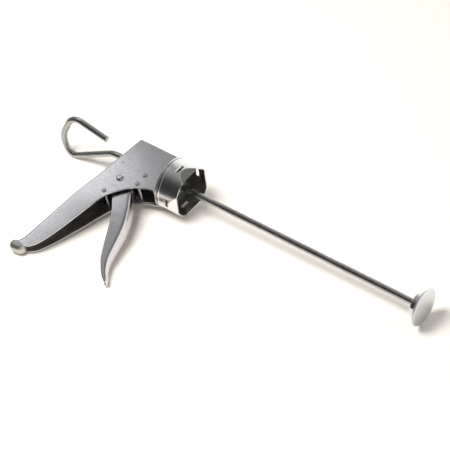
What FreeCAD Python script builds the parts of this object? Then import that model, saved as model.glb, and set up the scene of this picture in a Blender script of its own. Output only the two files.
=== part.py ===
"""Skeleton caulking gun handle with a rotating barrel collar, push rod and plunger.

Frame: +X runs forward along the rod towards the plunger, +Y is the gun's top, so the
trigger and handle point to -Y, and +Z is the gun's right side.  The gun lies on its left
side.  The origin is on the rod's axis, in the plane of the front flange's front face.
Millimetres throughout.
"""
import FreeCAD, Part
import math
import os
import re
import Sketcher

DOC = FreeCAD.newDocument("caulking_gun")
V = FreeCAD.Vector

# ---------------------------------------------------------------- driving dimensions
SIZES = {
    # pressed frame sheet: the head
    "sheet_thickness": 1.6,
    "head_half_width": 14.8,
    "head_top": 24.3,
    "head_front": -1.6,
    "head_front_bottom": -26.5,
    "head_throat_along": -22.0,
    "head_throat_down": -33.6,
    "head_rear_top": -58.5,
    "spine_knee_along": -70.0,
    "spine_knee_down": -40.0,
    "knee_radius": 60.0,
    "corner_radius": 3.0,
    # pressed frame sheet: the handle, measured down the spine from the knee and across it
    "handle_lean": 13.15,
    "grip_top_down": 14.9,
    "grip_top_across": 28.6,
    "grip_middle_down": 58.9,
    "grip_middle_across": 25.0,
    "grip_low_down": 95.9,
    "grip_low_across": 20.4,
    "butt_front_down": 111.5,
    "butt_front_across": 14.4,
    "butt_end_down": 122.6,
    "butt_end_across": 3.0,
    "butt_heel_down": 121.6,
    "butt_heel_across": -6.4,
    "butt_back_down": 114.2,
    "butt_back_across": -4.4,
    "spine_end_down": 107.0,
    "taper_start": -66.0,
    "taper_end": -150.0,
    "tip_half_width": 6.2,
    # front flange, hub, ring and collar
    "flange_radius": 29.4,
    "hub_radius": 12.0,
    "hub_flange_radius": 13.0,
    "hub_flange_thickness": 2.4,
    "hub_front": 10.0,
    "running_gap": 0.05,
    "face_gap": 0.4,
    "collar_radius": 29.0,
    "collar_wall": 1.6,
    "collar_back_wall": 2.0,
    "collar_front": 27.0,
    "collar_flat": 25.6,
    "collar_flat_start": 16.5,
    "collar_turn": -6.7,
    "slot_length": 4.0,
    "slot_across": 11.0,
    "slot_middle": 13.6,
    "ring_radius": 16.0,
    "ring_thickness": 2.0,
    "ring_slit": 3.0,
    # bracket behind the flange
    "bracket_sheet": 1.6,
    "bracket_rear": -28.0,
    "bracket_top": 22.0,
    "bracket_ear_top": -9.0,
    "bracket_ear_bottom": -31.5,
    "bracket_ear_knee": -19.0,
    "bracket_bottom": -24.0,
    # rod and plunger
    "rod_radius": 3.75,
    "rod_front": 323.0,
    "rod_straight_end": -82.0,
    "hook_roll": 75.0,
    "plunger_radius": 21.3,
    "plunger_thickness": 3.4,
    "plunger_front": 325.4,
    "plunger_edge": 1.4,
    "cup_radius": 13.6,
    "cup_length": 8.0,
    "cup_wall": 1.6,
    "collet_radius": 6.6,
    "collet_length": 5.2,
    "bush_radius": 6.0,
    "bush_lip_radius": 8.0,
    "bush_lip": 1.6,
    "rear_bush_start": -66.5,
    "rear_bush_end": -59.6,
    # pins through the frame
    "pivot_along": -44.7,
    "pivot_down": -30.6,
    "pivot_radius": 3.0,
    "pivot_head_radius": 4.8,
    "pivot_head_height": 1.8,
    "pivot_bush_radius": 4.6,
    "stop_along": -49.5,
    "stop_down": -53.6,
    "lower_rivet_along": -22.9,
    "lower_rivet_down": -28.3,
    "upper_rivet_along": -22.3,
    "upper_rivet_down": -14.8,
    "small_pin_radius": 1.9,
    "small_head_radius": 2.9,
    "small_head_height": 0.7,
    # trigger
    "trigger_sheet": 1.6,
    "trigger_half_width": 10.5,
    "trigger_tip_half_width": 5.2,
    "trigger_taper_start": -78.0,
    "trigger_taper_end": -140.0,
    "push_pin_along": -45.7,
    "push_pin_down": -11.6,
    "push_pin_radius": 1.6,
    "push_roller_radius": 2.4,
    # gripping plates and springs
    "grip_hole_radius": 3.82,
    "drive_plate_rear": -43.1,
    "drive_plate_thickness": 2.8,
    "drive_plate_gap": 0.3,
    "drive_plate_half_width": 8.3,
    "drive_plate_top": 14.0,
    "drive_plate_bottom": -14.0,
    "catch_rear": -57.6,
    "catch_thickness": 3.0,
    "catch_half_width": 8.3,
    "catch_top": 16.0,
    "catch_bottom": -16.5,
    "catch_hole_radius": 4.3,
    "catch_pin_along": -56.1,
    "catch_pin_down": -12.5,
    "catch_pin_radius": 1.5,
    "catch_knuckle_radius": 2.9,
    "tab_rear": -65.2,
    "tab_thickness": 2.2,
    "tab_half_width": 5.0,
    "tab_slot_gap": 1.0,
    "seat_rear": -46.9,
    "seat_thickness": 1.4,
    "seat_top": 12.0,
    "seat_bottom": -6.4,
    "spring_wire_radius": 0.65,
    "spring_coil_radius": 6.6,
    "drive_spring_turns": 9.0,
    "catch_spring_turns": 3.0,
}

sheet = DOC.addObject("Spreadsheet::Sheet", "Sizes")
sheet.Label = "sizes"
for row, (alias, number) in enumerate(SIZES.items(), start=1):
    sheet.set("A%d" % row, alias)
    sheet.set("B%d" % row, repr(number))
    sheet.setAlias("B%d" % row, alias)
DOC.recompute()


def size(alias):
    """A driving dimension, read back from the sheet."""
    return float(sheet.get(alias))


def bound(expression):
    """The expression with the sheet's name in front of each alias."""
    return re.sub(r"[a-z]+(?:_[a-z]+)+", lambda found: "Sizes." + found.group(0), expression)


def number_of(expression):
    """The number that an expression over the aliases stands for."""
    return float(sheet.evalExpression(bound(expression)))


def bind(thing, **properties):
    """Bind properties to expressions over the sheet; a__b stands for a.b."""
    for name, expression in properties.items():
        thing.setExpression(name.replace("__", "."), bound(expression))
    return thing


NODES = []


def node(label, thing):
    """Give a finished sub-part the name of its node."""
    thing.Label = label
    NODES.append(thing)
    return thing


# ---------------------------------------------------------------- building blocks
UPRIGHT = FreeCAD.Rotation()
ALONG_X = FreeCAD.Rotation(V(0, 1, 0), 90)


def cylinder(name, rotation, radius, height, x="0", y="0", z="0"):
    """A cylinder whose radius, height and base are expressions."""
    thing = DOC.addObject("Part::Cylinder", name)
    thing.Placement = FreeCAD.Placement(V(), rotation)
    bind(thing, Radius=radius, Height=height)
    bind(thing, Placement__Base__x=x, Placement__Base__y=y, Placement__Base__z=z)
    return thing


def block(name, low, high):
    """A box between two corners, each given as three expressions."""
    thing = DOC.addObject("Part::Box", name)
    spans = ["(%s) - (%s)" % (far, near) for near, far in zip(low, high)]
    bind(thing, Length=spans[0], Width=spans[1], Height=spans[2])
    bind(thing, Placement__Base__x=low[0], Placement__Base__y=low[1], Placement__Base__z=low[2])
    return thing


def fuse(name, *things):
    thing = DOC.addObject("Part::MultiFuse", name)
    thing.Shapes = list(things)
    return thing


def cut(name, base, tool):
    thing = DOC.addObject("Part::Cut", name)
    thing.Base = base
    thing.Tool = tool
    return thing


def common(name, base, tool):
    thing = DOC.addObject("Part::Common", name)
    thing.Base = base
    thing.Tool = tool
    return thing


def origin_plane(body, role):
    return next(f for f in body.Origin.OriginFeatures if f.Role == role)


def outline_sketch(body, role, corners):
    """A closed polygon whose corners are pairs of expressions, every one constrained."""
    sketch = body.newObject("Sketcher::SketchObject", body.Name + "_outline")
    sketch.AttachmentSupport = [(origin_plane(body, role), "")]
    sketch.MapMode = "FlatFace"
    flat = [V(number_of(across), number_of(up), 0) for across, up in corners]
    count = len(flat)
    for i in range(count):
        sketch.addGeometry(Part.LineSegment(flat[i], flat[(i + 1) % count]), False)
    for i in range(count):
        sketch.addConstraint(Sketcher.Constraint("Coincident", i, 2, (i + 1) % count, 1))
    for i, pair in enumerate(corners):
        for kind, axis, expression in (("DistanceX", -2, pair[0]), ("DistanceY", -1, pair[1])):
            if expression == "0":
                sketch.addConstraint(Sketcher.Constraint("PointOnObject", i, 1, axis))
                continue
            held = Sketcher.Constraint(kind, -1, 1, i, 1, number_of(expression))
            place = sketch.addConstraint(held)
            sketch.setExpression("Constraints[%d]" % place, bound(expression))
    return sketch


def add_hole(sketch, across, up, radius):
    """A round hole in a sketch, its centre and radius held by expressions."""
    centre = V(number_of(across), number_of(up), 0)
    ring = sketch.addGeometry(Part.Circle(centre, V(0, 0, 1), number_of(radius)), False)
    place = sketch.addConstraint(Sketcher.Constraint("Radius", ring, number_of(radius)))
    sketch.setExpression("Constraints[%d]" % place, bound(radius))
    for kind, axis, expression in (("DistanceX", -2, across), ("DistanceY", -1, up)):
        if expression == "0":
            sketch.addConstraint(Sketcher.Constraint("PointOnObject", ring, 3, axis))
            continue
        held = Sketcher.Constraint(kind, -1, 1, ring, 3, number_of(expression))
        place = sketch.addConstraint(held)
        sketch.setExpression("Constraints[%d]" % place, bound(expression))


def turned(name, profile):
    """A body turned about the rod's axis from a profile of (along, radius) corners."""
    body = DOC.addObject("PartDesign::Body", name + "_body")
    sketch = outline_sketch(body, "XY_Plane", profile)
    turn = body.newObject("PartDesign::Revolution", name + "_turn")
    turn.Profile = sketch
    turn.ReferenceAxis = (sketch, ["H_Axis"])
    turn.Angle = 360
    return body


def sleeve(name, start, end, inner, outer):
    """A plain tube along the rod's axis."""
    corners = [(start, inner), (end, inner), (end, outer), (start, outer)]
    return turned(name, corners)


def cross_plate(name, start, thickness, corners, holes=()):
    """A flat plate square to the rod: corners and holes are in (y, z)."""
    body = DOC.addObject("PartDesign::Body", name + "_body")
    sketch = outline_sketch(body, "YZ_Plane", corners)
    bind(sketch, AttachmentOffset__Base__z=start)
    for across, up, radius in holes:
        add_hole(sketch, across, up, radius)
    pad = body.newObject("PartDesign::Pad", name + "_pad")
    pad.Profile = sketch
    bind(pad, Length=thickness)
    return body


def rectangle(low, high, half_width):
    """Corners of a plate from y = low to high, as wide as twice half_width."""
    minus = "-" + half_width
    return [(low, minus), (high, minus), (high, half_width), (low, half_width)]


# ---------------------------------------------------------------- outlines with arcs
def arc(start, middle, end):
    return Part.Arc(start, middle, end).toShape()


def line(start, end):
    return Part.LineSegment(start, end).toShape()


def rounded_path(points, radii):
    """Edges through the points, with each inner corner rounded to its radius."""
    edges = []
    start = points[0]
    for before, corner, after, radius in zip(points, points[1:], points[2:], radii):
        into = (corner - before).normalize()
        out = (after - corner).normalize()
        half_turn = into.getAngle(out) / 2
        reach = radius * math.tan(half_turn)
        first = corner - into * reach
        last = corner + out * reach
        inward = (out - into).normalize()
        middle = corner + inward * (radius / math.cos(half_turn) - radius)
        edges += [line(start, first), arc(first, middle, last)]
        start = last
    edges.append(line(start, points[-1]))
    return edges


def slab(edges, half_width):
    """The outline's face, drawn in XY, extruded to both sides of the middle plane."""
    face = Part.Face(Part.Wire(Part.sortEdges(edges)[0]))
    lowered = face.translated(V(0, 0, -half_width))
    return lowered.extrude(V(0, 0, 2 * half_width))


def tapered_block(stations, forward):
    """A block as wide as its stations (y, half width) say, from -forward to forward."""
    near = [V(-forward, y, half) for y, half in stations]
    far = [V(-forward, y, -half) for y, half in reversed(stations)]
    corners = near + far
    face = Part.Face(Part.makePolygon(corners + corners[:1]))
    return face.extrude(V(2 * forward, 0, 0))


def held_shape(name, shape, placement=FreeCAD.Placement()):
    """A shape made here, as an object of the document."""
    thing = DOC.addObject("Part::Feature", name)
    thing.Shape = shape
    thing.Placement = placement
    return thing


def on_handle(down, across):
    """A point of the handle, down the spine from the knee and across it to the front."""
    lean = math.radians(size("handle_lean"))
    knee = V(size("spine_knee_along"), size("spine_knee_down"), 0)
    along = V(-math.sin(lean), -math.cos(lean), 0)
    front = V(math.cos(lean), -math.sin(lean), 0)
    return knee + along * down + front * across


def handle_point(name):
    return on_handle(size(name + "_down"), size(name + "_across"))


# ---------------------------------------------------------------- pressed frame
# The outline's back run is the spine; everything past REACH is open air in front.
REACH = 260.0


def spine_edges(inset, start_x):
    """Top edge, rear corner and spine down to the butt, moved inwards by inset."""
    lean = math.radians(size("handle_lean"))
    top = size("head_top") - inset
    rear = V(size("head_rear_top"), size("head_top"), 0)
    knee = on_handle(0, 0)
    head_lean = math.atan2(rear.x - knee.x, rear.y - knee.y)
    shifted_rear = rear.x + inset / math.cos(head_lean) - inset * math.tan(head_lean)
    turn = (lean - head_lean) / 2
    knee_inner = on_handle(inset * math.tan(turn), inset)
    points = [V(start_x, top, 0), V(shifted_rear, top, 0), knee_inner,
              on_handle(size("spine_end_down"), inset)]
    return rounded_path(points, [size("corner_radius") - inset / 2, size("knee_radius")])


def butt_edges(inset):
    """The rounded end of the handle from the spine round to its front corner."""
    back = on_handle(size("butt_back_down"), size("butt_back_across") + inset)
    heel = on_handle(size("butt_heel_down") - inset, size("butt_heel_across") + inset / 2)
    end = on_handle(size("butt_end_down") - inset, size("butt_end_across"))
    front = on_handle(size("butt_front_down") - inset / 2, size("butt_front_across") - inset)
    start = on_handle(size("spine_end_down"), inset)
    return [arc(start, back, heel), arc(heel, end, front)], front


def frame_side_slab():
    """The frame's side view, filled, out to its outer faces."""
    butt, front = butt_edges(0)
    grip_low = handle_point("grip_low")
    grip_top = handle_point("grip_top")
    throat = V(size("head_throat_along"), size("head_throat_down"), 0)
    front_low = V(size("head_front"), size("head_front_bottom"), 0)
    front_top = V(size("head_front"), size("head_top"), 0)
    edges = spine_edges(0, size("head_front")) + butt
    edges += [line(front, grip_low), arc(grip_low, handle_point("grip_middle"), grip_top)]
    edges += [arc(grip_top, throat, front_low), line(front_low, front_top)]
    return slab(edges, REACH)


def frame_hollow_slab():
    """The space inside the spine, running out through the open front."""
    inset = size("sheet_thickness")
    butt, front = butt_edges(inset)
    outside = [V(REACH, front.y, 0), V(REACH, size("head_top") - inset, 0)]
    edges = spine_edges(inset, REACH) + butt
    edges += [line(front, outside[0]), line(outside[0], outside[1])]
    return slab(edges, REACH)


def frame_width(inset):
    """How wide the frame is at each height: parallel head, handle narrowing to the butt."""
    head = size("head_half_width") - inset
    tip = size("tip_half_width") - inset
    stations = [(REACH, head), (size("taper_start"), head), (size("taper_end"), tip)]
    return tapered_block(stations + [(-REACH, tip)], REACH)


def make_frame_shell():
    outer = frame_side_slab().common(frame_width(0))
    inner = frame_hollow_slab().common(frame_width(size("sheet_thickness")))
    shell = outer.cut(inner)
    # holes: pivot, three rivets, catch pin, rear bush and the release tab's slot
    wide = 2 * REACH
    for name, radius in (("pivot", "pivot_radius"), ("stop", "small_pin_radius"),
                         ("lower_rivet", "small_pin_radius"),
                         ("upper_rivet", "small_pin_radius"),
                         ("catch_pin", "catch_pin_radius")):
        place = V(size(name + "_along"), size(name + "_down"), -REACH)
        shell = shell.cut(Part.makeCylinder(size(radius), wide, place, V(0, 0, 1)))
    bush_start = V(size("rear_bush_start"), 0, 0)
    bush_room = size("rear_bush_end") - size("rear_bush_start")
    shell = shell.cut(Part.makeCylinder(size("bush_radius"), bush_room, bush_start, V(1, 0, 0)))
    gap = size("tab_slot_gap")
    slot_low = V(size("tab_rear"), size("catch_top") - size("tab_thickness") - gap,
                 -size("tab_half_width") - gap)
    slot_length = size("catch_rear") - size("tab_rear")
    slot_height = size("tab_thickness") + 3 * gap
    slot_width = 2 * (size("tab_half_width") + gap)
    return shell.cut(Part.makeBox(slot_length, slot_height, slot_width, slot_low))


# ---------------------------------------------------------------- pressed trigger
def trigger_points():
    """Named points of the trigger's side view, in the gun's own X and Y."""
    return {
        "arm_rear": V(-50.3, -12.0, 0),
        "arm_top_rear": V(-48.0, -8.0, 0),
        "arm_top_front": V(-43.4, -8.0, 0),
        "arm_front": V(-41.3, -12.0, 0),
        "arm_root": V(-36.0, -21.0, 0),
        "brow": V(-27.5, -27.0, 0),
        "web_top": V(-26.0, -34.0, 0),
        "front_middle": V(-5.3, -71.2, 0),
        "front_low": V(5.8, -112.0, 0),
        "toe_front": V(10.6, -126.5, 0),
        "toe_tip": V(21.0, -140.3, 0),
        "toe_end": V(20.9, -142.9, 0),
        "toe_under": V(18.2, -143.2, 0),
        "toe_rear": V(4.0, -130.4, 0),
        "rear_low": V(-7.0, -112.0, 0),
        "rear_middle": V(-21.6, -80.5, 0),
        "rear_top": V(-43.0, -48.0, 0),
        "boss_low": V(-52.5, -38.0, 0),
        "boss_rear": V(-54.0, -30.0, 0),
    }


def trigger_side_slab():
    at = trigger_points()
    straight = ["rear_top", "boss_low", "boss_rear", "arm_rear", "arm_top_rear",
                "arm_top_front", "arm_front", "arm_root", "brow", "web_top"]
    edges = [line(at[a], at[b]) for a, b in zip(straight, straight[1:])]
    bends = [("web_top", "front_middle", "front_low"), ("front_low", "toe_front", "toe_tip"),
             ("toe_tip", "toe_end", "toe_under"), ("toe_under", "toe_rear", "rear_low"),
             ("rear_low", "rear_middle", "rear_top")]
    edges += [arc(at[a], at[b], at[c]) for a, b, c in bends]
    return slab(edges, REACH)


def trigger_hollow_slab():
    """The space behind the web, running out through the trigger's open rear."""
    at = trigger_points()
    inset = V(-size("trigger_sheet"), 0, 0)
    top = V(0, size("trigger_sheet"), 0)
    low = at["front_low"] + inset
    tip = at["toe_tip"] + inset * 2 + top
    edges = [arc(at["web_top"] + inset, at["front_middle"] + inset, low),
             arc(low, at["toe_front"] + inset, tip)]
    outside = [V(-REACH, tip.y, 0), V(-REACH, REACH, 0), V(at["web_top"].x, REACH, 0)]
    corners = [tip] + outside + [at["web_top"] + inset + top, at["web_top"] + inset]
    edges += [line(a, b) for a, b in zip(corners, corners[1:])]
    return slab(edges, REACH)


def trigger_width(inset):
    top = size("trigger_half_width") - inset
    tip = size("trigger_tip_half_width") - inset
    stations = [(REACH, top), (size("trigger_taper_start"), top)]
    stations += [(size("trigger_taper_end"), tip), (-REACH, tip)]
    return tapered_block(stations, REACH)


def make_trigger_shell():
    outer = trigger_side_slab().common(trigger_width(0))
    inner = trigger_hollow_slab().common(trigger_width(size("trigger_sheet")))
    shell = outer.cut(inner)
    # open the front above the web, so that the upper arm is two plain ears
    at = trigger_points()
    inside = size("trigger_half_width") - size("trigger_sheet")
    room = Part.makeBox(REACH, REACH, 2 * inside, V(at["web_top"].x - 4, at["web_top"].y, -inside))
    shell = shell.cut(room)
    for name, radius in (("pivot", "pivot_bush_radius"), ("push_pin", "push_pin_radius")):
        place = V(size(name + "_along"), size(name + "_down"), -REACH)
        shell = shell.cut(Part.makeCylinder(size(radius), 2 * REACH, place, V(0, 0, 1)))
    return shell


# ---------------------------------------------------------------- push rod with its hook
# Corners of the hook as (along, out from the rod's axis) in its own plane, and their bends.
HOOK_POINTS = [(-146.0, -34.5), (-156.6, -9.5), (-140.0, 24.6), (-90.4, 15.0)]
HOOK_RADII = [26.0, 12.0, 24.0, 18.0]


def make_push_rod():
    """Straight round bar, its rear end bent into an open loop in a plane rolled about X."""
    roll = math.radians(size("hook_roll"))
    side = V(0, math.cos(roll), math.sin(roll))
    points = [V(size("rod_front"), 0, 0), V(size("rod_straight_end"), 0, 0)]
    points += [V(along, 0, 0) + side * out for along, out in HOOK_POINTS]
    path = Part.Wire(rounded_path(points, HOOK_RADII))
    circle = Part.Circle(points[0], V(1, 0, 0), size("rod_radius")).toShape()
    return path.makePipeShell([Part.Wire(circle)], True, True)


# ---------------------------------------------------------------- springs
def make_spring(name, start, end, turns):
    """Round-wire coil about the rod between two faces."""
    wire = size("spring_wire_radius")
    radius = size("spring_coil_radius")
    end_room = 1.1 * wire
    run = end - start - 2 * end_room
    helix = Part.makeHelix(run / turns, run, radius)
    circle = Part.Circle(V(radius, 0, 0), V(0, 1, 0), wire).toShape()
    coil = Part.Wire(helix.Edges).makePipeShell([Part.Wire(circle)], True, True)
    return held_shape(name, coil, FreeCAD.Placement(V(start + end_room, 0, 0), ALONG_X))


# ---------------------------------------------------------------- pins and rivets
def rivet(name, place, shank, head, head_height):
    """A rivet right through the frame, with a shallow domed head on each side."""
    x, y = place + "_along", place + "_down"
    grip = "head_half_width"
    bar = cylinder(name + "_bar", UPRIGHT, shank, "2 * " + grip, x, y, "-" + grip)
    crowns = []
    for side, base in (("right", grip), ("left", "-%s - %s" % (grip, head_height))):
        crown = DOC.addObject("Part::Cone", "%s_%s_head" % (name, side))
        wide, narrow = ("Radius1", "Radius2") if side == "right" else ("Radius2", "Radius1")
        bind(crown, **{wide: head, narrow: head + " * 0.6", "Height": head_height})
        bind(crown, Placement__Base__x=x, Placement__Base__y=y, Placement__Base__z=base)
        crowns.append(crown)
    return fuse(name, bar, *crowns)


def short_rivets(name, place):
    """A pair of short rivets, one in each side plate, through the bracket's ears."""
    x, y = place + "_along", place + "_down"
    length = "sheet_thickness + bracket_sheet"
    inner = "head_half_width - sheet_thickness - bracket_sheet"
    pair = []
    for side, base in (("right", inner), ("left", "-head_half_width")):
        bar = cylinder("%s_%s_bar" % (name, side), UPRIGHT, "small_pin_radius", length, x, y, base)
        head_base = "head_half_width" if side == "right" else "-head_half_width - small_head_height"
        head = cylinder("%s_%s_head" % (name, side), UPRIGHT, "small_head_radius",
                        "small_head_height", x, y, head_base)
        pair.append(fuse("%s_%s" % (name, side), bar, head))
    both = DOC.addObject("Part::Compound", name)
    both.Links = pair
    return both


# ---------------------------------------------------------------- barrel collar
def squared_drum(name, radius, flat, end_flat):
    """A round drum whose front stretch is cut by four flats that slope inwards."""
    start = "collar_flat_start"
    round_part = cylinder(name + "_round", ALONG_X, radius, start + " - face_gap", "face_gap")
    front_part = cylinder(name + "_front", ALONG_X, radius, "collar_front - " + start, start)
    frustum = DOC.addObject("Part::Wedge", name + "_flats")
    frustum.Placement = FreeCAD.Placement(V(), FreeCAD.Rotation(V(0, 0, 1), -90))
    bind(frustum, Ymin="0", Ymax="collar_front - " + start, Placement__Base__x=start)
    bind(frustum, Xmin="-" + flat, Xmax=flat, Zmin="-" + flat, Zmax=flat)
    bind(frustum, X2min="-" + end_flat, X2max=end_flat, Z2min="-" + end_flat, Z2max=end_flat)
    return fuse(name, round_part, common(name + "_squared", front_part, frustum))


def make_barrel_collar():
    outer = squared_drum("collar_outer", "collar_radius", "collar_radius", "collar_flat")
    inner = squared_drum("collar_inner", "(collar_radius - collar_wall)",
                         "(collar_radius - collar_wall)", "(collar_flat - collar_wall)")
    floor = block("collar_floor", ["0", "-collar_radius", "-collar_radius"],
                  ["face_gap + collar_back_wall", "collar_radius", "collar_radius"])
    hollow = cut("collar_hollow", inner, floor)
    hole = cylinder("collar_hole", ALONG_X, "hub_radius + running_gap", "collar_front")
    reach = "collar_radius"
    slot_low = "slot_middle - slot_length / 2"
    slot_high = "slot_middle + slot_length / 2"
    across = "slot_across / 2"
    slots = [block("slot_y", [slot_low, "-" + reach, "-" + across], [slot_high, reach, across]),
             block("slot_z", [slot_low, "-" + across, "-" + reach], [slot_high, across, reach])]
    tools = fuse("collar_tools", hollow, hole, *slots)
    collar = cut("collar_cut", outer, tools)
    turn = FreeCAD.Rotation(V(1, 0, 0), size("collar_turn"))
    collar.Placement = FreeCAD.Placement(V(), turn)
    return collar


# ---------------------------------------------------------------- front bracket
def make_bracket():
    """Wall square to the rod, with two ears riveted inside the side plates."""
    wall_rear = "head_front - hub_flange_thickness - bracket_sheet"
    wall_front = "head_front - hub_flange_thickness"
    room = "head_half_width - sheet_thickness"
    wall = block("bracket_wall", [wall_rear, "bracket_bottom", "-(%s)" % room],
                 [wall_front, "bracket_top", room])
    ears = DOC.addObject("PartDesign::Body", "bracket_ears_body")
    corners = [(wall_front, "bracket_bottom"), (wall_front, "bracket_ear_top"),
               ("bracket_rear", "bracket_ear_top"), ("bracket_rear", "bracket_ear_bottom"),
               ("bracket_ear_knee", "bracket_ear_bottom")]
    sketch = outline_sketch(ears, "XY_Plane", corners)
    for place in ("lower_rivet", "upper_rivet"):
        add_hole(sketch, place + "_along", place + "_down", "small_pin_radius")
    pad = ears.newObject("PartDesign::Pad", "bracket_ears_pad")
    pad.Profile = sketch
    pad.SideType = "Symmetric"
    bind(pad, Length="2 * (%s)" % room)
    inside = "head_half_width - sheet_thickness - bracket_sheet"
    between = block("bracket_between", ["bracket_rear", "bracket_ear_bottom", "-(%s)" % inside],
                    [wall_rear, "bracket_ear_top", inside])
    bent = fuse("bracket_bent", wall, cut("bracket_ears", ears, between))
    hole = cylinder("bracket_hole", ALONG_X, "bush_radius", "bracket_sheet * 2", wall_rear)
    return cut("bracket_bored", bent, hole)


# ---------------------------------------------------------------- the pieces
node("frame_shell", held_shape("frame_shell_sheet", make_frame_shell()))
node("front_flange", sleeve("front_flange", "head_front", "0", "hub_radius", "flange_radius"))
node("front_bracket", make_bracket())

hub_rear = "head_front - hub_flange_thickness"
node("collar_hub", turned("collar_hub", [
    (hub_rear, "bush_radius"), ("hub_front", "bush_radius"), ("hub_front", "hub_radius"),
    ("head_front", "hub_radius"), ("head_front", "hub_flange_radius"),
    (hub_rear, "hub_flange_radius")]))
node("front_rod_bush", turned("front_rod_bush", [
    (hub_rear + " - bracket_sheet", "rod_radius + running_gap"),
    ("hub_front + bush_lip", "rod_radius + running_gap"),
    ("hub_front + bush_lip", "bush_lip_radius"), ("hub_front", "bush_lip_radius"),
    ("hub_front", "bush_radius"), (hub_rear + " - bracket_sheet", "bush_radius")]))
node("rear_rod_bush", sleeve("rear_rod_bush", "rear_bush_start", "rear_bush_end",
                             "rod_radius + running_gap", "bush_radius"))

node("barrel_collar", make_barrel_collar())
ring_start = "face_gap * 2 + collar_back_wall"
full_ring = cut("ring_bored",
                cylinder("ring_disc", ALONG_X, "ring_radius", "ring_thickness", ring_start),
                cylinder("ring_hole", ALONG_X, "hub_radius", "collar_front"))
ring_slit = block("ring_gap", ["0", "hub_radius / 2", "-ring_slit / 2"],
                  ["collar_front", "ring_radius * 1.2", "ring_slit / 2"])
node("collar_retaining_ring", cut("retaining_ring_cut", full_ring, ring_slit))

node("pivot_rivet", rivet("pivot_rivet_fused", "pivot", "pivot_radius", "pivot_head_radius",
                          "pivot_head_height"))
node("trigger_stop_rivet", rivet("stop_rivet_fused", "stop", "small_pin_radius",
                                 "small_head_radius", "small_head_height"))
node("bracket_lower_rivet", rivet("lower_rivet_fused", "lower_rivet", "small_pin_radius",
                                  "small_head_radius", "small_head_height"))
node("bracket_upper_rivets", short_rivets("upper_rivets_pair", "upper_rivet"))

node("trigger_shell", held_shape("trigger_shell_sheet", make_trigger_shell()))
bush_half = "head_half_width - sheet_thickness - face_gap / 2"
node("trigger_pivot_bush", cut(
    "pivot_bush_cut",
    cylinder("pivot_bush_bar", UPRIGHT, "pivot_bush_radius", "2 * (%s)" % bush_half,
             "pivot_along", "pivot_down", "-(%s)" % bush_half),
    cylinder("pivot_bush_hole", UPRIGHT, "pivot_radius + running_gap", "4 * head_half_width",
             "pivot_along", "pivot_down", "-2 * head_half_width")))
node("trigger_push_pin", cylinder(
    "push_pin_bar", UPRIGHT, "push_pin_radius", "2 * trigger_half_width", "push_pin_along",
    "push_pin_down", "-trigger_half_width"))
roller_half = "trigger_half_width - trigger_sheet - face_gap"
node("trigger_push_roller", cut(
    "push_roller_cut",
    cylinder("push_roller_bar", UPRIGHT, "push_roller_radius", "2 * (%s)" % roller_half,
             "push_pin_along", "push_pin_down", "-(%s)" % roller_half),
    cylinder("push_roller_hole", UPRIGHT, "push_pin_radius", "4 * head_half_width",
             "push_pin_along", "push_pin_down", "-2 * head_half_width")))

node("push_rod", held_shape("push_rod_bar", make_push_rod()))
plunger_back = "plunger_front - plunger_thickness"
node("plunger_disc", turned("plunger_disc", [
    (plunger_back, "rod_radius"), ("rod_front", "rod_radius"), ("rod_front", "0"),
    ("plunger_front", "0"), ("plunger_front", "plunger_radius - plunger_edge"),
    ("plunger_front - plunger_edge", "plunger_radius"), (plunger_back, "plunger_radius")]))
cup_back = plunger_back + " - cup_length"
node("plunger_cup", turned("plunger_cup", [
    (cup_back, "rod_radius"), (cup_back, "cup_radius - cup_wall"),
    (cup_back + " + cup_wall", "cup_radius"), (plunger_back, "cup_radius"),
    (plunger_back, "cup_radius - cup_wall"), (cup_back + " + cup_wall", "cup_radius - cup_wall"),
    (cup_back + " + cup_wall", "rod_radius")]))
node("plunger_collet", sleeve("plunger_collet", plunger_back + " - collet_length", plunger_back,
                              "rod_radius", "collet_radius"))

plate_step = "(drive_plate_thickness + drive_plate_gap)"
for label, count in (("rear_drive_plate", "0"), ("front_drive_plate", "1")):
    node(label, cross_plate(label, "drive_plate_rear + %s * %s" % (count, plate_step),
                            "drive_plate_thickness",
                            rectangle("drive_plate_bottom", "drive_plate_top",
                                      "drive_plate_half_width"),
                            [("0", "0", "grip_hole_radius")]))

catch_blade = cross_plate("catch_blade", "catch_rear", "catch_thickness",
                          rectangle("catch_bottom", "catch_top", "catch_half_width"),
                          [("0", "0", "catch_hole_radius")])
catch_tab = block("catch_tab", ["tab_rear", "catch_top - tab_thickness", "-tab_half_width"],
                  ["catch_rear", "catch_top", "tab_half_width"])
catch_knuckle = cylinder("catch_knuckle", UPRIGHT, "catch_knuckle_radius",
                         "2 * catch_half_width", "catch_pin_along", "catch_pin_down",
                         "-catch_half_width")
catch_bore = cylinder("catch_bore", UPRIGHT, "catch_pin_radius + running_gap",
                      "head_half_width * 4", "catch_pin_along", "catch_pin_down",
                      "-head_half_width * 2")
catch_front = "(catch_rear + catch_thickness)"
node("release_catch", cut("catch_cut", fuse("catch_fused", catch_blade, catch_tab,
                                            catch_knuckle), catch_bore))
node("catch_pin", cylinder("catch_pin_bar", UPRIGHT, "catch_pin_radius", "2 * head_half_width",
                           "catch_pin_along", "catch_pin_down", "-head_half_width"))
node("catch_spring_seat", cross_plate(
    "catch_spring_seat", "seat_rear", "seat_thickness",
    rectangle("seat_bottom", "seat_top", "(head_half_width - sheet_thickness)"),
    [("0", "0", "catch_hole_radius")]))
node("catch_spring", make_spring("catch_spring_coil", number_of(catch_front),
                                 size("seat_rear"), size("catch_spring_turns")))
node("drive_spring", make_spring(
    "drive_spring_coil", number_of("drive_plate_rear + 2 * %s - drive_plate_gap" % plate_step),
    number_of(hub_rear + " - bracket_sheet"), size("drive_spring_turns")))

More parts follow.
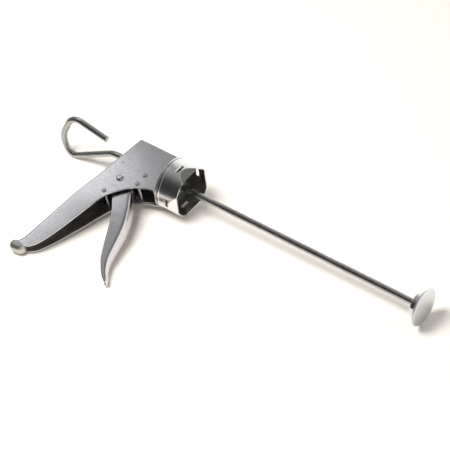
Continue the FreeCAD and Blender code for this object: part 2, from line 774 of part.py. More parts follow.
# ---------------------------------------------------------------- check and write
DOC.recompute()
for thing in DOC.Objects:
    if {"Invalid", "Error"} & set(thing.State):
        raise RuntimeError("%s did not compute: %s" % (thing.Label, thing.State))
for thing in NODES:
    if thing.Shape.isNull() or not thing.Shape.isValid() or not thing.Shape.Solids:
        raise RuntimeError("%s has no valid solid" % thing.Label)

os.makedirs("parts", exist_ok=True)
for thing in NODES:
    thing.Shape.exportStep(os.path.join("parts", thing.Label + ".step"))
    print("%-24s %2d solid(s) %10.1f mm3" % (thing.Label, len(thing.Shape.Solids),
                                             thing.Shape.Volume))
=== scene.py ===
"""Skeleton caulking gun on a pale glossy floor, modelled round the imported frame.

Lengths are in millimetres in the row's frame, turned to metres where a mesh or a place is
made: +X along the rod to the plunger, +Y the gun's top, +Z its right side.
"""
import math
import bmesh
import bpy
from mathutils import Matrix, Quaternion, Vector


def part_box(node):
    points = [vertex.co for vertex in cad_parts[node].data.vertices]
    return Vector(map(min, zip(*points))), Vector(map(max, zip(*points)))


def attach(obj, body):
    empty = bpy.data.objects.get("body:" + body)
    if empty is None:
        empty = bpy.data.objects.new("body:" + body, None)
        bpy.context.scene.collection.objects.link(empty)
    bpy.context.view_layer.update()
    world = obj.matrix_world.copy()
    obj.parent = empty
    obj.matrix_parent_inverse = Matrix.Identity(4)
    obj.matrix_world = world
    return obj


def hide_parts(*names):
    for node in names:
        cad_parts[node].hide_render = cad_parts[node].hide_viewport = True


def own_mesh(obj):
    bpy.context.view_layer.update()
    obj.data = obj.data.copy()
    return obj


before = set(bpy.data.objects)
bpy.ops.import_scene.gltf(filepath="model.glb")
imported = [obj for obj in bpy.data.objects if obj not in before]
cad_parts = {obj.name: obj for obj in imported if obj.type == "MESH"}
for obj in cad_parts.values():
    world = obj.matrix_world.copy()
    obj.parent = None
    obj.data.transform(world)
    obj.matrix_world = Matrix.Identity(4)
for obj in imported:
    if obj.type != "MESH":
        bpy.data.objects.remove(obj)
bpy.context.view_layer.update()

MM = 0.001


# ---------------------------------------------------------------- shared sizes, from the frame
def side(node, corner, axis):
    """One coordinate of a CAD node's box, in millimetres."""
    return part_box(node)[corner][axis] / MM


LOW, HIGH = 0, 1
X, Y, Z = 0, 1, 2
SHEET = 1.6
HEAD_HALF_WIDTH = side("frame_shell", HIGH, Z)
HEAD_TOP = side("frame_shell", HIGH, Y)
HEAD_FRONT = side("frame_shell", HIGH, X)
ROD_RADIUS = 3.73
ROD_FRONT = side("push_rod", HIGH, X)
COLLAR_BACK = side("barrel_collar", LOW, X)
COLLAR_FRONT = side("barrel_collar", HIGH, X)
COLLAR_RADIUS = side("barrel_collar", HIGH, Y)
HUB_RADIUS = 12.0
HUB_REAR_RADIUS = 13.0


# ---------------------------------------------------------------- curves
def through(points, steps=10):
    """A smooth run through the points, with the ends' tangents along their first legs."""
    spots = [Vector(p) for p in points]
    spots = [spots[0] * 2 - spots[1]] + spots + [spots[-1] * 2 - spots[-2]]
    run = []
    for a, b, c, d in zip(spots, spots[1:], spots[2:], spots[3:]):
        for i in range(steps):
            t = i / steps
            run.append(0.5 * (2 * b + (c - a) * t + (2 * a - 5 * b + 4 * c - d) * t ** 2
                              + (3 * b - a - 3 * c + d) * t ** 3))
    return run + [spots[-2]]


def rounded(points, radii, arc_step=8.0, leg_step=5.0):
    """A run of straight legs whose inner corners are rounded; arc_step is in degrees."""
    spots = [Vector(p) for p in points]
    run = []
    start = spots[0]
    for corner, after, radius in zip(spots[1:], spots[2:], radii):
        into = (corner - start).normalized()
        out = (after - corner).normalized()
        turn = into.angle(out)
        reach = radius * math.tan(turn / 2)
        first = corner - into * reach
        run += leg(start, first, leg_step)
        centre = corner + (out - into).normalized() * (radius / math.cos(turn / 2))
        count = max(2, round(math.degrees(turn) / arc_step))
        across = (first - centre).normalized()
        for i in range(count):
            angle = turn * i / count
            run.append(centre + (across * math.cos(angle) + into * math.sin(angle)) * radius)
        start = corner + out * reach
    return run + leg(start, spots[-1], leg_step) + [spots[-1]]


def leg(start, end, step):
    """Evenly spaced points from start up to, but not including, end."""
    count = max(1, round((end - start).length / step))
    return [start.lerp(end, i / count) for i in range(count)]


def distances(run):
    """How far along the run each of its points is."""
    total = [0.0]
    for a, b in zip(run, run[1:]):
        total.append(total[-1] + (b - a).length)
    return total


def at_share(run, total, share):
    """The point at that share of the run's length."""
    wanted = share * total[-1]
    for i in range(len(run) - 1):
        if total[i + 1] >= wanted:
            gap = total[i + 1] - total[i]
            return run[i].lerp(run[i + 1], (wanted - total[i]) / gap if gap else 0.0)
    return run[-1].copy()


def between(table, value):
    """Linear interpolation in a short table of (value, result) pairs, held at its ends."""
    if value <= table[0][0]:
        return table[0][1]
    for (low, first), (high, second) in zip(table, table[1:]):
        if value <= high:
            return first + (second - first) * (value - low) / (high - low)
    return table[-1][1]


def smooth_min(a, b, blend):
    """The smaller of a and b, with the crease between them rounded over blend."""
    h = max(blend - abs(a - b), 0.0) / blend
    return min(a, b) - h * h * blend / 4


# ---------------------------------------------------------------- meshes
def make_object(name, vertices, faces):
    mesh = bpy.data.meshes.new(name)
    mesh.from_pydata([Vector(v) * MM for v in vertices], [], faces)
    mesh.update()
    obj = bpy.data.objects.new(name, mesh)
    bpy.context.scene.collection.objects.link(obj)
    return obj


def grid_faces(rows, columns, wrap=False, left_out=lambda i, j: False):
    """Quads over a grid of vertices stored row by row."""
    faces = []
    for i in range(rows - 1):
        for j in range(columns if wrap else columns - 1):
            if not left_out(i, j):
                k = (j + 1) % columns
                faces.append((i * columns + j, i * columns + k, (i + 1) * columns + k,
                              (i + 1) * columns + j))
    return faces


def solidify(obj, thickness):
    """Give the sheet its thickness inwards; the inner face takes the piece's second material."""
    shell = obj.modifiers.new("thickness", "SOLIDIFY")
    shell.thickness = thickness * MM
    shell.offset = -1
    shell.use_even_offset = False
    shell.use_quality_normals = True
    shell.material_offset = 1


def bevel(obj, width, segments=2, angle=35):
    edge = obj.modifiers.new("edges", "BEVEL")
    edge.width = width * MM
    edge.segments = segments
    edge.limit_method = "ANGLE"
    edge.angle_limit = math.radians(angle)
    edge.use_clamp_overlap = True


def weld(obj):
    """Join vertices that lie in the same place."""
    join = obj.modifiers.new("join", "WELD")
    join.merge_threshold = 0.001 * MM


def combine(obj, tool, operation):
    """Cut the tool from the object, or add it, as the operation says."""
    change = obj.modifiers.new("change", "BOOLEAN")
    change.operation = operation
    change.solver = "EXACT"
    change.object = tool


def settle(obj, sharp=32):
    """Apply the modifiers and shade smooth, with edges past the sharp angle left crisp."""
    done = bpy.data.meshes.new_from_object(
        obj.evaluated_get(bpy.context.evaluated_depsgraph_get()))
    obj.modifiers.clear()
    obj.data = done
    done.shade_smooth()
    done.set_sharp_from_angle(angle=math.radians(sharp))
    even = obj.modifiers.new("even_normals", "WEIGHTED_NORMAL")
    even.keep_sharp = True
    return obj


def paint(obj, *materials):
    """Give the mesh its materials, in the order of its faces' material numbers."""
    numbers = [face.material_index for face in obj.data.polygons]
    obj.data.materials.clear()
    for material in materials:
        obj.data.materials.append(material)
    obj.data.polygons.foreach_set("material_index", numbers)


def finish_piece(obj, body, slot, *nodes):
    """Let the piece ride on its body and hide the CAD nodes it replaces."""
    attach(obj, body)
    if nodes:
        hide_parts(*nodes)


def lathe(name, profile, material, segments=96, edge=0.25, edge_steps=3, along_z=None):
    """Turn a closed profile of (along, radius) about X, or about a Z axis through along_z."""
    vertices = []
    for along, radius in profile:
        for j in range(segments):
            angle = 2 * math.pi * j / segments
            a, b = radius * math.cos(angle), radius * math.sin(angle)
            if along_z is None:
                vertices.append((along, a, b))
            else:
                vertices.append((along_z[0] + a, along_z[1] + b, along))
    rows = len(profile)
    faces = []
    for i in range(rows):
        for j in range(segments):
            k = (j + 1) % segments
            n = (i + 1) % rows
            faces.append((i * segments + j, n * segments + j, n * segments + k,
                          i * segments + k))
    obj = make_object(name, vertices, faces)
    paint(obj, material)
    weld(obj)
    if edge:
        bevel(obj, edge, edge_steps)
    return settle(obj)


def tube(name, run, radius, sides=32, chamfer=0.6):
    """A round bar along the run, its two ends slightly chamfered."""
    tangents = []
    for i in range(len(run)):
        tangents.append((run[min(i + 1, len(run) - 1)] - run[max(i - 1, 0)]).normalized())
    first_side = tangents[0].orthogonal().normalized()
    rings = []
    for i, (spot, tangent) in enumerate(zip(run, tangents)):
        if i:
            first_side = tangents[i - 1].rotation_difference(tangent) @ first_side
        second_side = tangent.cross(first_side)
        rings.append((spot, first_side.copy(), second_side, radius))
    for where, inward in ((0, 1), (-1, -1)):
        spot, one, two, _ = rings[where]
        step = tangents[where] * chamfer * inward
        cap = [(spot, one, two, radius - chamfer), (spot + step, one, two, radius)]
        if where == 0:
            rings = cap + rings[1:]
        else:
            rings = rings[:-1] + cap[::-1]
    vertices = []
    for spot, one, two, size in rings:
        for j in range(sides):
            angle = 2 * math.pi * j / sides
            vertices.append(spot + (one * math.cos(angle) + two * math.sin(angle)) * size)
    faces = grid_faces(len(rings), sides, wrap=True)
    last = (len(rings) - 1) * sides
    faces.append(tuple(reversed(range(sides))))
    faces.append(tuple(range(last, last + sides)))
    return make_object(name, vertices, faces)


def folded_rows(web, rim, matches, half_width, bend_radius, inset, side_steps=14):
    """Rows of points across a channel bent from sheet, moved inwards by inset.

    The web follows one run in the XY plane and the two lips another; matches pairs shares
    of the web's length with shares of the rim's, half_width gives the channel's outer half
    width at a height, and bend_radius the fold's outer radius at a share of the web. Each
    row goes from the left lip round the web to the right lip.
    """
    web_steps, bend_steps = 6, 8
    web_total, rim_total = distances(web), distances(rim)
    rows = []
    for i, spot in enumerate(web):
        share = web_total[i] / web_total[-1]
        lip = at_share(rim, rim_total, between(matches, share))
        tangent = web[min(i + 1, len(web) - 1)] - web[max(i - 1, 0)]
        inward = Vector((tangent.y, -tangent.x, 0)).normalized()
        if inward.dot(lip - spot) < 0:
            inward.negate()
        fold = min(bend_radius(share), 0.8 * (lip - spot).length)
        root = spot + inward * fold
        flat = half_width(spot.y) - fold
        inner = fold - inset
        start = spot + inward * inset
        half = [start + Vector((0, 0, flat * j / web_steps)) for j in range(web_steps)]
        for j in range(bend_steps + 1):
            angle = math.pi / 2 * j / bend_steps
            place = start + inward * inner * (1 - math.cos(angle))
            place.z = half_width(place.y) - fold + inner * math.sin(angle)
            half.append(place)
        for j in range(1, side_steps + 1):
            place = root.lerp(lip, j / side_steps)
            place.z = half_width(place.y) - inset
            half.append(place)
        rows.append([Vector((p.x, p.y, -p.z)) for p in reversed(half[1:])] + half)
    return rows


def sheet_shell(name, outer, inner, ear=(), side_steps=14):
    """Close a folded sheet's outer and inner rows into one shell.

    ear is a flat outline in XY that carries both sides on past the first row, from the
    lip round to the fold; it lies at the height of the first row's lip.
    """
    count, columns = len(outer), len(outer[0])
    layers = []
    for rows in (outer, inner):
        height = rows[0][-1].z
        ears = [Vector((p.x, p.y, sign * height)) for sign in (1, -1) for p in ear]
        layers.append([v for row in rows for v in row] + ears)
    grid = grid_faces(count, columns)
    right_ear = [count * columns + i for i in range(len(ear))]
    left_ear = [i + len(ear) for i in right_ear]
    if ear:
        grid.append(tuple(right_ear[::-1] + list(range(columns - 1, columns - side_steps - 2, -1))))
        grid.append(tuple(left_ear[::-1] + list(range(side_steps + 1))))
    loop = [i * columns for i in range(count)]
    loop += [(count - 1) * columns + j for j in range(1, columns)]
    loop += [i * columns + columns - 1 for i in range(count - 2, -1, -1)]
    if ear:
        loop += right_ear
        loop += range(columns - side_steps - 1, side_steps - 1, -1)
        loop += left_ear[::-1]
    else:
        loop += range(columns - 2, 0, -1)
    shift = len(layers[0])
    faces = grid + [tuple(k + shift for k in face) for face in grid]
    for a, b in zip(loop, loop[1:] + loop[:1]):
        faces.append((a, b, b + shift, a + shift))
    shell = make_object(name, layers[0] + layers[1], faces)
    # The inner layer takes the second material, painted darker as shade inside the channel.
    for face in shell.data.polygons[len(grid):2 * len(grid)]:
        face.material_index = 1
    face_outwards(shell.data)
    return shell


def face_outwards(mesh):
    """Turn every face of a closed mesh to face out."""
    work = bmesh.new()
    work.from_mesh(mesh)
    bmesh.ops.recalc_face_normals(work, faces=work.faces)
    work.to_mesh(mesh)
    work.free()


# ---------------------------------------------------------------- materials
def principled(name):
    material = bpy.data.materials.new(name)
    material.use_nodes = True
    nodes = material.node_tree.nodes
    shader = nodes["Principled BSDF"]
    return material, nodes, material.node_tree.links, shader


def stretched_noise(nodes, links, scale, stretch, detail=4.0):
    """Noise over the object's own coordinates, stretched along one axis or more."""
    where = nodes.new("ShaderNodeTexCoord")
    mapping = nodes.new("ShaderNodeMapping")
    mapping.inputs["Scale"].default_value = stretch
    links.new(where.outputs["Object"], mapping.inputs["Vector"])
    noise = nodes.new("ShaderNodeTexNoise")
    noise.inputs["Scale"].default_value = scale
    noise.inputs["Detail"].default_value = detail
    links.new(mapping.outputs["Vector"], noise.inputs["Vector"])
    return noise.outputs["Fac"]


def ramp(nodes, links, source, low, high, start=0.3, end=0.7):
    """Map a 0-1 value between two numbers or two colours."""
    if isinstance(low, tuple):
        node = nodes.new("ShaderNodeValToRGB")
        node.color_ramp.elements[0].position = start
        node.color_ramp.elements[1].position = end
        node.color_ramp.elements[0].color = low + (1,)
        node.color_ramp.elements[1].color = high + (1,)
        links.new(source, node.inputs["Fac"])
        return node.outputs["Color"]
    node = nodes.new("ShaderNodeMapRange")
    node.inputs["From Min"].default_value = start
    node.inputs["From Max"].default_value = end
    node.inputs["To Min"].default_value = low
    node.inputs["To Max"].default_value = high
    links.new(source, node.inputs["Value"])
    return node.outputs["Result"]


def metal(name, dark, light, smooth, rough, grain, grain_scale, bump):
    """Plated or bare steel: cloudy tone, uneven gloss and a fine drawn grain."""
    material, nodes, links, shader = principled(name)
    shader.inputs["Metallic"].default_value = 1.0
    cloud = stretched_noise(nodes, links, 28, (1, 1, 1))
    links.new(ramp(nodes, links, cloud, dark, light), shader.inputs["Base Color"])
    marks = stretched_noise(nodes, links, grain_scale, grain, 6.0)
    links.new(ramp(nodes, links, marks, smooth, rough, 0.35, 0.65), shader.inputs["Roughness"])
    relief = nodes.new("ShaderNodeBump")
    relief.inputs["Strength"].default_value = bump
    relief.inputs["Distance"].default_value = 0.0002
    links.new(marks, relief.inputs["Height"])
    links.new(relief.outputs["Normal"], shader.inputs["Normal"])
    return material


NICKEL = metal("nickel_sheet", (0.60, 0.585, 0.60), (0.68, 0.665, 0.68), 0.18, 0.27,
               (0.25, 1, 1), 700, 0.015)
TRIGGER_NICKEL = metal("nickel_trigger", (0.58, 0.56, 0.575), (0.66, 0.64, 0.655), 0.18, 0.27,
                       (1, 0.25, 1), 700, 0.015)
CHROME = metal("chrome_collar", (0.70, 0.70, 0.685), (0.80, 0.80, 0.785), 0.07, 0.15,
               (1, 1, 1), 500, 0.01)
# Inner faces of the pressed sheets: rougher nickel whose base is painted darker, as painted shade
# for the inside of the channels.
FRAME_INSIDE_SHADE = metal("sheet_inside_painted_shade", (0.26, 0.255, 0.25), (0.48, 0.475, 0.465), 0.34, 0.50,
                     (1, 1, 1), 600, 0.03)
# The butt's bead: rougher nickel whose base is painted darker and olive, as painted shade for the
# dim reflection at the butt.
BUTT_NICKEL_SHADE = metal("butt_nickel_painted_shade", (0.50, 0.49, 0.46), (0.60, 0.59, 0.56), 0.46, 0.58,
                    (1, 1, 1), 600, 0.03)
# Inside of the collar's cup: rougher chrome whose base is painted much darker, as painted shade
# inside the cup.
COLLAR_INSIDE_SHADE = metal("cup_inside_painted_shade", (0.20, 0.195, 0.185), (0.36, 0.355, 0.34), 0.30, 0.44,
                      (1, 1, 1), 600, 0.03)
ROD_STEEL = metal("zinc_rod", (0.33, 0.335, 0.32), (0.46, 0.465, 0.45), 0.22, 0.34,
                  (0.08, 1, 1), 1400, 0.04)
BRIGHT = metal("bright_steel", (0.60, 0.60, 0.61), (0.74, 0.74, 0.75), 0.12, 0.22,
               (1, 1, 1), 900, 0.02)
RIVET = metal("rivet_steel", (0.34, 0.33, 0.34), (0.48, 0.47, 0.48), 0.22, 0.34,
              (1, 1, 1), 1200, 0.03)
PLUNGER = metal("plunger_face", (0.66, 0.67, 0.68), (0.75, 0.765, 0.765), 0.30, 0.42,
                (1, 1, 1), 1300, 0.04)
HARD = metal("hard_steel", (0.26, 0.26, 0.28), (0.38, 0.38, 0.40), 0.32, 0.48,
             (1, 0.2, 1), 900, 0.05)
SPRING = metal("spring_steel", (0.34, 0.34, 0.35), (0.48, 0.48, 0.50), 0.24, 0.36,
               (1, 1, 1), 1500, 0.04)
ZINC = metal("zinc_bracket", (0.42, 0.42, 0.43), (0.58, 0.58, 0.59), 0.28, 0.42,
             (1, 1, 0.3), 800, 0.04)


# ---------------------------------------------------------------- frame shell
# Outer half width of the pressed frame at each height: parallel head, handle narrowing down.
FRAME_WIDTH = [(-150.0, 6.1), (-128.0, 8.3), (-104.0, 10.9), (-84.0, 13.2),
               (-72.0, 14.3), (-60.0, HEAD_HALF_WIDTH)]
# The knee is where the head's back turns into the handle's spine.
KNEE = Vector((-70, -40, 0))
HANDLE_DOWN = Vector((-25, -107, 0)).normalized()
HANDLE_FRONT = Vector((-HANDLE_DOWN.y, HANDLE_DOWN.x, 0))
# Places on the handle are (down the spine from the knee, across to the front): the web's last
# stretch, and the two centres of the bead that closes the butt.
WEB_END = [(103.0, 0.0), (107.5, -0.8), (111.8, -2.6), (115.5, -4.2)]
BEAD = [(116.9, -0.2), (114.9, 5.4)]
BEAD_RADIUS = 6.2
BEAD_EDGE = 4.6
BUTT_HALF_WIDTH = 6.6
BUTT_SHADE_MATERIAL_NUMBER = 2
# The catch's slot in the head's top: along X from the catch's rear end, in height and across.
CATCH_SLOT_LENGTH = (-2.0, 8.2)
CATCH_SLOT_HEIGHT = (12.8, 17.8)
CATCH_SLOT_HALF_WIDTH = 6.0


def frame_half_width(height):
    return between(FRAME_WIDTH, height)


def on_handle(down, across):
    """A point of the handle: down its spine from the knee, and across towards the front."""
    return KNEE + HANDLE_DOWN * down + HANDLE_FRONT * across


def make_frame_shell():
    """A sheet folded to a channel, its web along the top and down the spine into the bead."""
    spine = rounded([(HEAD_FRONT, HEAD_TOP, 0), (-58.5, HEAD_TOP, 0), KNEE,
                     on_handle(*WEB_END[0])], [3.2, 60.0], arc_step=6, leg_step=4)
    web = spine[:-1] + through([on_handle(*place) for place in WEB_END], 6)
    rim = through([(HEAD_FRONT, -26.5, 0), (-11, -28.6, 0), (-22, -33.6, 0), (-31, -41, 0),
                   (-38.5, -49.8, 0), (-45.5, -61, 0), (-50.6, -75, 0), (-55, -90, 0),
                   (-59.1, -103, 0), (-64, -118, 0), (-71, -136, 0), (-75.8, -144.3, 0),
                   (-80.5, -149.2, 0), (-86.0, -151.8, 0)])
    matches = [(0.0, 0.0), (0.231, 0.287), (0.2525, 0.306), (0.505, 0.42), (0.925, 0.86),
               (1.0, 1.0)]

    def fold(share):
        return between([(0.0, 2.4), (0.6, 2.4), (0.9, 4.4), (1.0, 4.6)], share)

    outer, inner = (folded_rows(web, rim, matches, frame_half_width, fold, inset)
                    for inset in (0, SHEET))
    shell = sheet_shell("frame_shell_sheet", outer, inner)
    paint(shell, NICKEL, FRAME_INSIDE_SHADE, BUTT_NICKEL_SHADE)
    bevel(shell, 0.22)
    bush = cutter_cylinder(side("rear_rod_bush", LOW, X) - 4, side("rear_rod_bush", HIGH, X) + 1,
                           side("rear_rod_bush", HIGH, Y) + 0.02)
    catch = side("release_catch", LOW, X)
    slot = cutter_block(
        (catch + CATCH_SLOT_LENGTH[0], CATCH_SLOT_HEIGHT[0], -CATCH_SLOT_HALF_WIDTH),
        (catch + CATCH_SLOT_LENGTH[1], CATCH_SLOT_HEIGHT[1], CATCH_SLOT_HALF_WIDTH))
    bead = make_bead()
    for tool, operation in ((bush, "DIFFERENCE"), (slot, "DIFFERENCE"), (bead, "UNION")):
        combine(shell, tool, operation)
    settle(shell)
    for tool in (bush, slot, bead):
        bpy.data.objects.remove(tool)
    finish_piece(shell, "frame", "nickel_sheet", "frame_shell")


def make_bead():
    """The closed butt: a bar across the handle, oval from the side, with well rounded ends."""
    arc_steps, edge_steps = 12, 6
    first, second = (on_handle(*place) for place in BEAD)
    lean = math.atan2(second.y - first.y, second.x - first.x)
    layers = []
    for i in range(edge_steps + 1):
        turn = math.pi / 2 * i / edge_steps
        layers.append((BUTT_HALF_WIDTH - BEAD_EDGE * (1 - math.sin(turn)),
                       BEAD_RADIUS - BEAD_EDGE * (1 - math.cos(turn))))
    layers = [(-z, radius) for z, radius in reversed(layers)] + layers
    vertices = []
    for z, radius in layers:
        for centre, start in ((second, lean - math.pi / 2), (first, lean + math.pi / 2)):
            for j in range(arc_steps + 1):
                angle = start + math.pi * j / arc_steps
                vertices.append(centre + Vector((radius * math.cos(angle),
                                                 radius * math.sin(angle), z)))
    around = 2 * (arc_steps + 1)
    faces = grid_faces(len(layers), around, wrap=True)
    last = (len(layers) - 1) * around
    faces += [tuple(reversed(range(around))), tuple(range(last, last + around))]
    bead = make_object("butt_bead", vertices, faces)
    for face in bead.data.polygons:
        # The whole bead takes the third material, the butt nickel with its painted shade.
        face.material_index = BUTT_SHADE_MATERIAL_NUMBER
    paint(bead, NICKEL, FRAME_INSIDE_SHADE, BUTT_NICKEL_SHADE)
    face_outwards(bead.data)
    return bead


def cutter_cylinder(start, end, radius, sides=64):
    """A closed bar along X, used to cut a hole."""
    vertices = []
    for x in (start, end):
        for j in range(sides):
            angle = 2 * math.pi * j / sides
            vertices.append((x, radius * math.cos(angle), radius * math.sin(angle)))
    faces = grid_faces(2, sides, wrap=True)
    faces += [tuple(reversed(range(sides))), tuple(range(sides, 2 * sides))]
    return make_object("hole_tool", vertices, faces)


def cutter_block(low, high):
    """A closed block, used to cut a slot."""
    vertices = [(x, y, z) for x in (low[0], high[0]) for y in (low[1], high[1])
                for z in (low[2], high[2])]
    faces = [(0, 1, 3, 2), (4, 6, 7, 5), (0, 4, 5, 1), (2, 3, 7, 6), (0, 2, 6, 4), (1, 5, 7, 3)]
    return make_object("slot_tool", vertices, faces)


# ---------------------------------------------------------------- trigger
# Outer half width of the trigger at each height.
TRIGGER_WIDTH = [(-143.0, 4.4), (-139.0, 5.4), (-133.0, 6.2), (-125.0, 7.0), (-100.0, 8.9),
                 (-80.0, 10.1), (-68.0, 10.5)]
TRIGGER_SIDE_STEPS = 10


def make_trigger_shell():
    """A channel with its web in front, whose sides rise into the head as two arms."""
    web = through([(-26.6, -33, 0), (-20.6, -43.5, 0), (-13.9, -54.0, 0), (-7.4, -66.5, 0),
                   (-1.9, -80.5, 0), (1.9, -95.5, 0), (5.2, -110, 0), (8.4, -121.0, 0),
                   (13.2, -130.6, 0), (18.0, -137.0, 0), (21.4, -142.6, 0)], 8)
    rim = through([(-44.5, -45.5, 0), (-36.2, -57.8, 0), (-28.4, -68.4, 0), (-21.5, -80.5, 0),
                   (-14.3, -96.3, 0), (-7.0, -112.0, 0), (-1.0, -123.6, 0), (5.6, -132.4, 0),
                   (11.4, -138.6, 0), (17.0, -143.0, 0)], 8)

    def half_width(height):
        return between(TRIGGER_WIDTH, height)

    def fold(share):
        return between([(0, 4.5), (0.3, 5.5), (0.8, 5.0), (1, 3.2)], share)

    outer, inner = (folded_rows(web, rim, [(0, 0), (1, 1)], half_width, fold, inset,
                                TRIGGER_SIDE_STEPS) for inset in (0, SHEET))
    # from the lip round the pivot boss, up to the push pin and down again to the web's top
    arm = rounded([(-44.5, -45.5, 0), (-54.6, -37, 0), (-50.6, -6.5, 0), (-42.5, -6.5, 0),
                   (-40.6, -16, 0), (-29.5, -25, 0), (-26.4, -29.5, 0)],
                  [8.0, 3.5, 3.5, 6.0, 4.0], leg_step=8)[1:]
    shell = sheet_shell("trigger_shell_sheet", outer, inner, arm, TRIGGER_SIDE_STEPS)
    paint(shell, TRIGGER_NICKEL, FRAME_INSIDE_SHADE)
    bevel(shell, 0.22)
    settle(shell)
    finish_piece(shell, "trigger", "nickel_sheet", "trigger_shell")


# ---------------------------------------------------------------- barrel collar
COLLAR_WALL = 1.6
COLLAR_BEND = 1.1
COLLAR_TURN = math.radians(-6.7)
FLAT_START = 16.5
FLAT_INSET = 3.4
FLAT_BLEND = 0.25
SLOT = (11.6, 15.6)
SLOT_HALF_WIDTH = 5.5
SLOT_RADIUS = 29.0
SLOT_HALF_ANGLE = math.asin(SLOT_HALF_WIDTH / SLOT_RADIUS)
RIM_END = 3.2
RIM_HEIGHT = 0.35
RIM_RUNOUT = 0.6


def collar_radius(x, angle):
    """Outer radius of the drawn cup, its angle measured from the middle of a flat."""
    body = COLLAR_RADIUS - RIM_HEIGHT * between([(RIM_END, 0), (RIM_END + RIM_RUNOUT, 1)], x)
    inset = FLAT_INSET * max(0.0, x - FLAT_START) / (COLLAR_FRONT - FLAT_START)
    return smooth_min(body, (COLLAR_RADIUS - inset) / math.cos(angle), FLAT_BLEND)


def make_collar():
    """A drawn cup: floor round the hub, bend, and a wall with four flats and four slots."""
    corner = (COLLAR_BACK + COLLAR_BEND, COLLAR_RADIUS - COLLAR_BEND)
    floor_radii = [HUB_RADIUS + 0.1, 14, 17, 20, 23, corner[1]]
    quarter = []
    for low, high, count, slotted in ((-math.pi / 4, -SLOT_HALF_ANGLE, 26, False),
                                      (-SLOT_HALF_ANGLE, SLOT_HALF_ANGLE, 18, True),
                                      (SLOT_HALF_ANGLE, math.pi / 4, 26, False)):
        quarter += [(low + (high - low) * i / count, slotted) for i in range(count)]
    around = [(a, q * math.pi / 2 + a + COLLAR_TURN, inside) for q in range(4)
              for a, inside in quarter]
    rows = [[(COLLAR_BACK, r)] * len(around) for r in floor_radii]
    bend_steps = 7
    for i in range(1, bend_steps):
        turn = math.pi / 2 * i / bend_steps
        rows.append([(corner[0] - COLLAR_BEND * math.cos(turn),
                      corner[1] + COLLAR_BEND * math.sin(turn))] * len(around))
    xs = [corner[0], RIM_END, RIM_END + RIM_RUNOUT / 2, RIM_END + RIM_RUNOUT, 5, 6.5, 8, 10,
          SLOT[0], 13.6, SLOT[1], 16.2]
    xs += [FLAT_START + 0.75 * i for i in range(1, 14)] + [COLLAR_FRONT]
    first_wall = len(rows)
    rows += [[(x, collar_radius(x, a)) for a, _, _ in around] for x in xs]
    vertices = []
    for row in rows:
        for (x, radius), (_, angle, _) in zip(row, around):
            vertices.append((x, radius * math.cos(angle), radius * math.sin(angle)))

    def in_slot(i, j):
        on_wall = i >= first_wall and SLOT[0] <= xs[i - first_wall] < SLOT[1]
        return on_wall and around[j][2]

    collar = make_object("barrel_collar_cup", vertices,
                         grid_faces(len(rows), len(around), wrap=True, left_out=in_slot))
    # The cup's inner face takes the second material, with the painted shade inside the cup.
    paint(collar, CHROME, COLLAR_INSIDE_SHADE)
    solidify(collar, COLLAR_WALL)
    bevel(collar, 0.25)
    settle(collar, 28)
    finish_piece(collar, "collar", "nickel_sheet", "barrel_collar")


# ---------------------------------------------------------------- rod, hook and plunger
# The hook as (along X, off the rod's axis), from where the rod stops being straight.
HOOK = [(-82.0, 0.0), (-146.0, -34.5), (-156.6, -9.5), (-140.0, 24.6), (-90.4, 15.0)]
HOOK_RADII = [26.0, 12.0, 24.0, 18.0]
HOOK_ROLL = math.radians(75)


def make_push_rod():
    """Round bar with its rear end bent into an open loop, in a plane rolled about X."""
    out = Vector((0, math.cos(HOOK_ROLL), math.sin(HOOK_ROLL)))
    points = [Vector((ROD_FRONT, 0, 0))]
    points += [Vector((along, 0, 0)) + out * off for along, off in HOOK]
    rod = tube("push_rod_bar", rounded(points, HOOK_RADII, arc_step=5, leg_step=12), ROD_RADIUS)
    paint(rod, ROD_STEEL)
    settle(rod, 40)
    finish_piece(rod, "rod", "zinc_rod", "push_rod")


def arc_profile(centre, radius, start, end, steps=5):
    """Points of an arc in (along, radius), its angles in degrees from the axis's direction."""
    points = []
    for i in range(steps + 1):
        angle = math.radians(start + (end - start) * i / steps)
        points.append((centre[0] + radius * math.cos(angle),
                       centre[1] + radius * math.sin(angle)))
    return points


def make_plunger():
    """Slightly domed disc with a rolled rim and the cup behind it; the collet inside is the CAD
    node, kept.
    """
    back, front = side("plunger_disc", LOW, X), side("plunger_disc", HIGH, X)
    rim = side("plunger_disc", HIGH, Y)
    roll = 1.5
    profile = [(back, ROD_RADIUS), (back, rim - roll)]
    profile += arc_profile((back + roll, rim - roll), roll, 180, 90)[1:]
    profile += arc_profile((front - 0.7 - roll, rim - roll), roll, 90, 20)
    profile += [(front - 0.45, 17), (front - 0.2, 12), (front - 0.05, 6), (front, 0.01),
                (ROD_FRONT, 0.01), (ROD_FRONT, ROD_RADIUS)]
    disc = lathe("plunger_disc_turned", profile, PLUNGER, 128, edge=0)
    finish_piece(disc, "rod", "plunger_face", "plunger_disc")
    rear = side("plunger_cup", LOW, X)
    wide = side("plunger_cup", HIGH, Y)
    shoulder = 1.4
    outside = [(back, wide)] + arc_profile((rear + shoulder, wide - shoulder), shoulder, 90, 180)
    inside = [(rear, ROD_RADIUS + 0.02), (rear + 1.4, ROD_RADIUS + 0.02),
              (rear + 1.4, wide - 2.6), (rear + 2.6, wide - 1.4), (back, wide - 1.4)]
    cup = lathe("plunger_cup_turned", outside + inside, CHROME, 96, edge=0.15, edge_steps=2)
    finish_piece(cup, "rod", "bright_steel", "plunger_cup")


